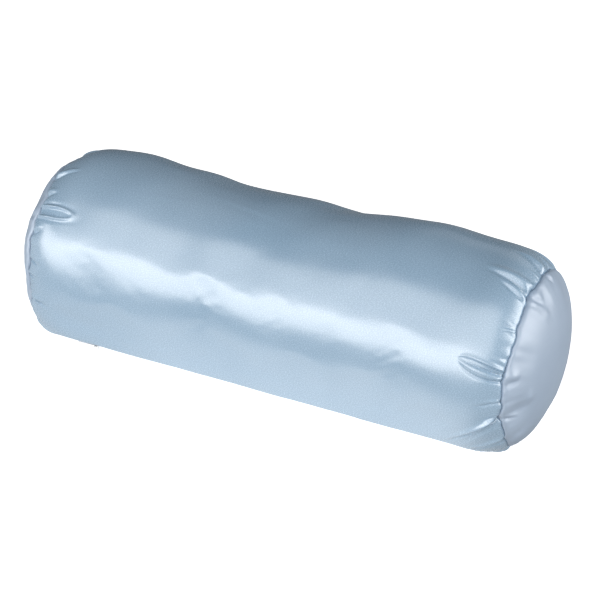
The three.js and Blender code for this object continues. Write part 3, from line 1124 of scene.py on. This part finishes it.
def make_fill():
    """The wadding: one closed lumpy body that fills the liner."""
    grid = inner_grid(FILL_DEPTH)[:, ::2]
    turn = turn_of(grid)
    tufts = sum(np.sin(grid[..., 0] * along + turn * turns + phase) for along, turns, phase in TUFTS)
    grid = grid - NORMALS[:, ::2] * (0.35 * MM * (tufts + 3) / 2)[..., None]
    rows, count = grid.shape[:2]
    faces = grid_faces(rows, count, closed=True)
    ends = [grid[0].mean(0), grid[-1].mean(0)]
    points = np.vstack([grid.reshape(-1, 3), ends])
    last = (rows - 1) * count
    faces += [((j + 1) % count, j, rows * count) for j in range(count)]
    faces += [(last + j, last + (j + 1) % count, rows * count + 1) for j in range(count)]
    fill = mesh_object("fibre_fill_wadding", points, faces)
    face_along(fill, from_axis)
    dress(fill, FIBRE, "fibre_fill")


# ---- stitches


THREAD_RADIUS = 0.22 * MM


def stitch(start, end, lift, radius):
    """One stitch: a thread that dips into the cloth at both ends. lift is the vector it rises by."""
    share = np.linspace(0, 1, 7)[:, None]
    rise = np.sin(share * math.pi) ** 0.6
    line = start * (1 - share) + end * share + lift * (rise - 0.6)
    return tube(line, radius * (0.75 + 0.25 * rise[:, 0]), 6)


def run_along(line):
    """Length of a line of points up to each of them."""
    return np.concatenate([[0], np.cumsum(np.linalg.norm(np.diff(line, axis=0), axis=1))])


def stitches(name, line, lifts, pitch, length, radius):
    """A row of stitches along a line of points, one for each pitch."""
    run = run_along(line)

    def at(s, values):
        return np.array([np.interp(s, run, values[:, k]) for k in range(3)])

    parts = []
    for k in range(int(run[-1] / pitch)):
        s = (k + 0.5) * pitch
        lift = at(s, lifts)
        parts.append(stitch(at(s - length / 2, line), at(s + length / 2, line), lift, radius))
    return join(name, parts)


def make_seams():
    """The thread of the four end seams: the cover's in its grooves, the liner's on its edges."""
    angles = np.linspace(0, 2 * math.pi, 721)
    for side, sign in ENDS:
        for what, depth, radius in (
            ("seam_thread", SEAM_GROOVE + 0.3 * MM, THREAD_RADIUS),
            ("liner_seam", LINER_DEPTH - 0.15 * MM, 0.28 * MM),
        ):
            line, above = (
                on_surface(sign * SEAM_X, angles, np.full(angles.shape, level))
                for level in (depth, depth - 0.35 * MM)
            )
            if what == "seam_thread":
                shift = seam_shift(sign, turn_of(line))
                line[:, 0] += shift
                above[:, 0] += shift
            name = f"{what}_{side}_stitches"
            made = stitches(name, line, above - line, 3.0 * MM, 2.6 * MM, radius)
            dress(made, THREAD, f"{what}_{side}")


def make_closing_stitch():
    """Whip stitches that close the gap in the liner through which it was stuffed."""
    low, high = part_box("liner_closing_stitch")
    count = int((high.x - low.x) / (3.4 * MM))
    parts = []
    for k in range(count):
        x = low.x + (k + 0.5) * (high.x - low.x) / count
        start, end = (
            on_surface(x + slide, angle_at(off / RADIUS, x + slide), 3.5 * MM)
            for off, slide in ((-1.4 * MM, -0.6 * MM), (1.4 * MM, 0.9 * MM))
        )
        top = angle_at(0.0, x)
        lift = on_surface(x, top, 3.1 * MM) - on_surface(x, top, 3.6 * MM)
        parts.append(stitch(start, end, lift, 0.25 * MM))
    made = join("liner_closing_whipstitch", parts)
    dress(made, THREAD, "liner_closing_stitch")


def make_label():
    """A blank woven label, caught in the left seam."""
    low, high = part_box("care_label")
    middle = math.atan2(-((low.y + high.y) / 2 - CENTRE[1]), (low.z + high.z) / 2 - CENTRE[2])
    half = (high.z - low.z) / 2 / RADIUS
    along = np.linspace(low.x, high.x, 31)
    around = np.linspace(-half, half, 21)
    x, off = np.meshgrid(along, around, indexing="ij")
    depth = (2.3 + 0.12 * np.sin(x / MM * 0.35 + off * 14)) * MM
    points = on_surface(x, angle_at(middle + off, x), depth)
    faces = grid_faces(len(along), len(around))
    label = mesh_object("care_label_cloth", points, faces)
    flat = np.stack([x, off * RADIUS], axis=2).reshape(-1, 2)
    set_uv(label, [flat[k] for face in faces for k in face])
    modifier(label, "SOLIDIFY", thickness=0.35 * MM, offset=0.0)
    dress(label, LABEL, "care_label")


# ---- the zip


def zip_ends(node):
    """How far a CAD node of the zip reaches along it, towards the left and the right."""
    low, high = zip_box(node)
    return low[0], high[0]


def swept(name, outline, along, wave=0.0):
    """A strip with the same outline all along the zip. outline holds (across, above) pairs."""
    outline = np.array(outline) * MM
    rows = np.array([[(x, y + wave * math.sin(x * 61.0), z) for y, z in outline] for x in along])
    count = len(outline)
    faces = grid_faces(len(rows), count, closed=True)
    faces += [tuple(reversed(range(count))), tuple(range((len(rows) - 1) * count, len(rows) * count))]
    made = mesh_object(name, zip_place(rows), faces)
    run = run_along(np.vstack([outline, outline[:1]]))
    uvs = [
        (along[i + up], run[j + over])
        for i in range(len(rows) - 1)
        for j in range(count)
        for up, over in ((0, 0), (0, 1), (1, 1), (1, 0))
    ]
    set_uv(made, [*uvs, *outline[::-1], *outline])
    shade(made, False)
    return made


def make_tapes():
    left, right = zip_ends("zip_tape_front")
    along = np.arange(left, right + 1e-6, (right - left) / 148)
    for side, sign in ZIP_SIDES:
        # A raised cord runs along the edge that carries the coil.
        outline = [(1.0, -1.85), (0.85, -1.55), (1.0, -1.3), (2.8, -1.28), (3.0, -1.38), (7.4, -1.4)]
        outline += [(11.5, -1.4), (11.75, -1.6), (11.5, -1.8), (6.0, -1.8)]
        made = swept(f"zip_tape_{side}_woven", [(sign * y, z) for y, z in outline], along, 0.02 * MM)
        dress(made, TAPE, f"zip_tape_{side}")


def make_hems():
    """The cover's edges turned under along the opening, down to the tapes."""
    reach = SLOT_HALF - 0.6 * MM
    along = np.arange(-reach, reach + 1e-6, reach / 90)
    for side, sign in ZIP_SIDES:
        edge = SLOT_HALF_WIDTH / MM
        outline = [(0.45, 0.0), (0.1, -0.12), (-0.08, -0.45), (0.0, -0.85), (0.35, -1.1), (4.9, -1.12)]
        outline += [(5.1, -0.9), (4.9, -0.66), (0.75, -0.64)]
        made = swept(f"cover_hem_{side}_satin", [(sign * (edge + y), z) for y, z in outline], along)
        shade(made, True)
        dress(made, SATIN, "cover_sleeve")


COIL_PITCH = 1.45 * MM
COIL_MIDDLE = 1.66 * MM  # from the zip's middle line to the middle of one half of the chain
COIL_SWING = 0.78 * MM
WIRE = 0.27 * MM


def make_coils():
    """Each half of the chain: one nylon wire wound in flattened turns that lie over the tape's edge."""
    for side, sign in ZIP_SIDES:
        left, right = zip_ends(f"zip_coil_{side}")
        left, right = left + WIRE, right - WIRE
        shift = 0.0 if sign > 0 else COIL_PITCH / 2
        turns = int((right - left - COIL_PITCH / 2) / COIL_PITCH)
        phase = np.arange(turns * 12 + 1) / 12
        swing = phase * 2 * math.pi
        nose = np.cos(swing)
        x = left + shift + phase * COIL_PITCH + 0.12 * MM * np.sin(2 * swing)
        y = sign * (COIL_MIDDLE - COIL_SWING * np.sign(nose) * np.abs(nose) ** 0.8)
        z = -0.27 * MM + 0.47 * MM * np.sin(swing)
        made = join(f"zip_coil_{side}_wire", [tube(zip_place(np.stack([x, y, z], axis=1)), WIRE, 6)])
        dress(made, NYLON, f"zip_coil_{side}")


def make_zip_stitches():
    for side in ("front", "back"):
        low, high = zip_box(f"zip_stitch_{side}")
        middle, above = (low[1] + high[1]) / 2, 0.12 * MM
        line = zip_place([(x, middle, above) for x in np.linspace(low[0], high[0], 360)])
        lifts = np.broadcast_to(OUTWARD * 0.3 * MM, line.shape)
        made = stitches(f"zip_stitch_{side}_thread", line, lifts, 2.9 * MM, 2.5 * MM, THREAD_RADIUS)
        dress(made, THREAD, f"zip_stitch_{side}")


def make_tacks():
    for side, _ in ENDS:
        low, high = zip_box(f"zip_tack_{side}")
        passes = 34
        share = np.linspace(0, 1, passes * 6 + 1)
        y = low[1] + (high[1] - low[1]) * share
        swing = np.sin(share * passes * math.pi)
        x = (low[0] + high[0]) / 2 + (high[0] - low[0]) / 2 * 0.9 * swing
        z = 0.2 * MM + 0.28 * MM * (1 - np.abs(swing) ** 3)
        line = zip_place(np.stack([x, y, z], axis=1))
        made = join(f"zip_tack_{side}_bars", [tube(line, 0.2 * MM, 6)])
        dress(made, THREAD, f"zip_tack_{side}")


def rounded_copy(node, name, width):
    """A piece in the shape of its CAD node, with its edges rounded off."""
    made = placed(name, frame["nodes"][node].data.copy())
    modifier(made, "WELD", merge_threshold=0.001 * MM)
    modifier(
        made, "BEVEL", width=width, segments=2, limit_method="ANGLE", angle_limit=math.radians(35),
        use_clamp_overlap=True, harden_normals=False,
    )
    shade(made, True)
    return made


def make_hardware():
    for node, width, body in (
        ("zip_top_stop_front", 0.2 * MM, "pillow"),
        ("zip_top_stop_back", 0.2 * MM, "pillow"),
        ("zip_bottom_stop", 0.2 * MM, "pillow"),
        ("zip_slider", 0.14 * MM, "slider"),
        ("zip_pull", 0.16 * MM, "pull"),
    ):
        dress(rounded_copy(node, f"{node}_metal", width), METAL, node, body=body)


cover, cover_ends = make_cover(*cover_grids())
make_hems()
make_liner()
make_fill()
make_seams()
make_closing_stitch()
make_label()
make_tapes()
make_coils()
make_zip_stitches()
make_tacks()
make_hardware()

# ---- floor, light and camera


# The table's painted pool of glow, in metres: where its middle lies, and where it starts to fade and ends.
GLOW_POOL_MIDDLE = 0.06
GLOW_POOL_NEAR = 0.10
GLOW_POOL_FAR = 0.24
TABLE_GLOW = 0.85
TABLE_DIM = 0.05
SEEN_GLOW = 0.78
GLOW_POOL_ENDS = [(0.16, 0.24, 0.12), (-0.05, -0.30, 0.5)]  # along the roll, with what is left


def make_floor():
    """A white table that glows, a painted light. Seen straight on it is plain and pale all over, from an
    even glow. What the satin mirrors, and what lights the roll from below, is a painted pool of glow in
    its middle, where the roll lies, and its dim far parts; for all but camera rays its colour is painted
    dark."""
    floor = mesh_object("floor", [(-4, -4, 0), (4, -4, 0), (4, 4, 0), (-4, 4, 0)], [(0, 1, 2, 3)])
    nodes = Nodes("floor_paper_painted_glow")
    place = nodes.place()
    grain = nodes.noise(400.0, 3.0, place)
    direct = nodes.add("LightPath").outputs["Is Camera Ray"]
    white = nodes.ramp(grain, [(0.3, (0.78, 0.78, 0.78)), (0.7, (0.80, 0.80, 0.80))])
    # Painted shade: for all but camera rays the table's colour is a dark grey, so that its glow, not its
    # colour, sets what the satin mirrors.
    shade = nodes.add("Mix", {"Factor": direct, "A": (0.22, 0.22, 0.22, 1), "B": white}, data_type="RGBA")
    nodes.link(shade.outputs["Result"], "Base Color")
    # A painted pool of glow round the roll, fading away from it across the table and towards both ends.
    depth = nodes.add("SeparateXYZ", {0: place}).outputs["Y"]
    off = nodes.math("ABSOLUTE", nodes.math("ADD", depth, GLOW_POOL_MIDDLE))
    painted_glow_pool = nodes.carried(off, GLOW_POOL_NEAR, GLOW_POOL_FAR, TABLE_GLOW, TABLE_DIM, "SMOOTHSTEP")
    sideways = nodes.add("SeparateXYZ", {0: place}).outputs["X"]
    for near, far, least in GLOW_POOL_ENDS:
        end = nodes.carried(sideways, near, far, 1.0, least, "SMOOTHSTEP")
        painted_glow_pool = nodes.math("MULTIPLY", painted_glow_pool, end)
    # The glow, a painted light: even and pale for camera rays, the painted pool for all others.
    glow = nodes.add("Mix", {0: direct, 2: painted_glow_pool, 3: SEEN_GLOW}).outputs[0]
    nodes.link(glow, "Emission Strength")
    nodes.shader.inputs["Emission Color"].default_value = (1, 1, 1, 1)
    nodes.set(Roughness=0.9, Specular_IOR_Level=0.1)
    floor.data.materials.append(nodes.material)
    floor.location.z = -0.1 * MM


def direction(azimuth, elevation):
    """From the roll towards a lamp or the camera. Azimuth 0 is straight in front."""
    a, e = math.radians(azimuth), math.radians(elevation)
    return Vector((math.sin(a) * math.cos(e), -math.cos(a) * math.cos(e), math.sin(e)))


def aim(made, target, back, distance):
    made.location = target + back * distance
    made.rotation_euler = (-back).to_track_quat("-Z", "Y").to_euler()


def area_light(name, azimuth, elevation, distance, width, height, power, colour=(1, 1, 1)):
    data = bpy.data.lights.new(name, "AREA")
    data.shape, data.size, data.size_y = "RECTANGLE", width, height
    data.energy, data.color = power, colour
    aim(placed(name, data), Vector(CENTRE), direction(azimuth, elevation), distance)


WORLD_LIGHT = 0.08
WORLD_SEEN = 0.85


def make_lights():
    area_light("front_softbox", -25, 13, 2.2, 4.3, 1.0, 42)
    area_light("upper_softbox", 0, 49, 2.4, 3.2, 2.6, 39)
    area_light("right_softbox", 98, 16, 1.9, 2.0, 1.6, 33)
    area_light("back_fill", 165, 20, 2.6, 2.4, 0.8, 3, (0.9, 0.95, 1.0))
    world = bpy.data.worlds.new("studio")
    world.use_nodes = True
    world.node_tree.nodes["Background"].inputs["Color"].default_value = (0.86, 0.92, 1.0, 1)
    nodes, links = world.node_tree.nodes, world.node_tree.links
    seen = nodes.new("ShaderNodeMapRange")
    seen.inputs["To Min"].default_value = WORLD_LIGHT
    seen.inputs["To Max"].default_value = WORLD_SEEN
    links.new(nodes.new("ShaderNodeLightPath").outputs["Is Camera Ray"], seen.inputs["Value"])
    links.new(seen.outputs[0], nodes["Background"].inputs["Strength"])
    bpy.context.scene.world = world


CAMERA_AZIMUTH = 24.5
CAMERA_ELEVATION = 34.5
CAMERA_DISTANCE = 1.605
CAMERA_LENS = 113.3  # mm
AIM_RIGHT = 7.4 * MM  # the camera aims this far beside and below the roll's middle
AIM_DOWN = 4.3 * MM


def make_camera():
    back = direction(CAMERA_AZIMUTH, CAMERA_ELEVATION)
    right = direction(CAMERA_AZIMUTH + 90, 0)
    target = Vector(CENTRE) + right * AIM_RIGHT - back.cross(right) * AIM_DOWN
    data = bpy.data.cameras.new("camera")
    data.lens, data.sensor_width = CAMERA_LENS, 36
    made = placed("camera", data)
    aim(made, target, back, CAMERA_DISTANCE)
    bpy.context.scene.camera = made


make_floor()
make_lights()
make_camera()
bpy.context.scene.view_settings.view_transform = "Standard"
bpy.context.view_layer.update()
